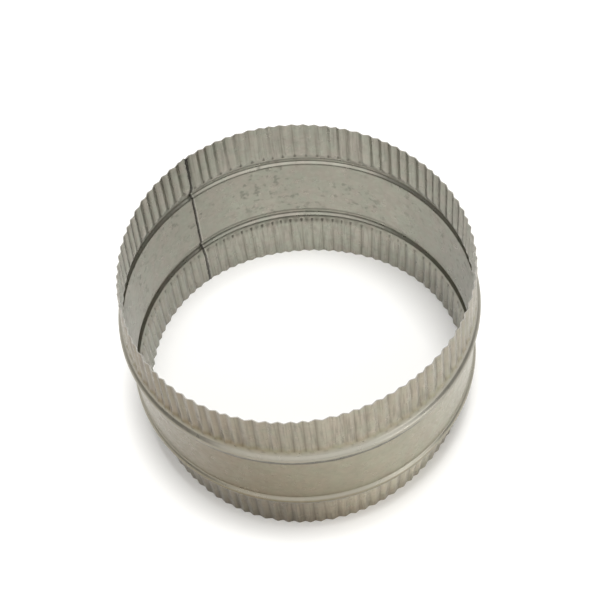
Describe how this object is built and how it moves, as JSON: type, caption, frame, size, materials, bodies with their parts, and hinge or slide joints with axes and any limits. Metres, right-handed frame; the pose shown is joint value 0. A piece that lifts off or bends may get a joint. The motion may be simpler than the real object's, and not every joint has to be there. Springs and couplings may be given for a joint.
{
  "type": "duct connector sleeve",
  "caption": "Round sheet-metal sleeve that joins flexible duct: fluted crimped ends, a rolled bead beside each crimp, a plain band between them and one lapped seam.",
  "frame": {"origin": "centre of the rim that the sleeve stands on, on its axis", "axes": "+Z along the sleeve's axis to the other rim; -Y faces the viewer of the picture; the seam is at the back, towards -X"},
  "size_m": [0.2066, 0.2066, 0.123],
  "materials": {
    "galvanised_steel": "zinc coated sheet, dull grey with a soft sheen, faint mottling and small dark stains"
  },
  "bodies": {
    "root": {"duct_connector": "galvanised_steel"}
  },
  "joints": []
}
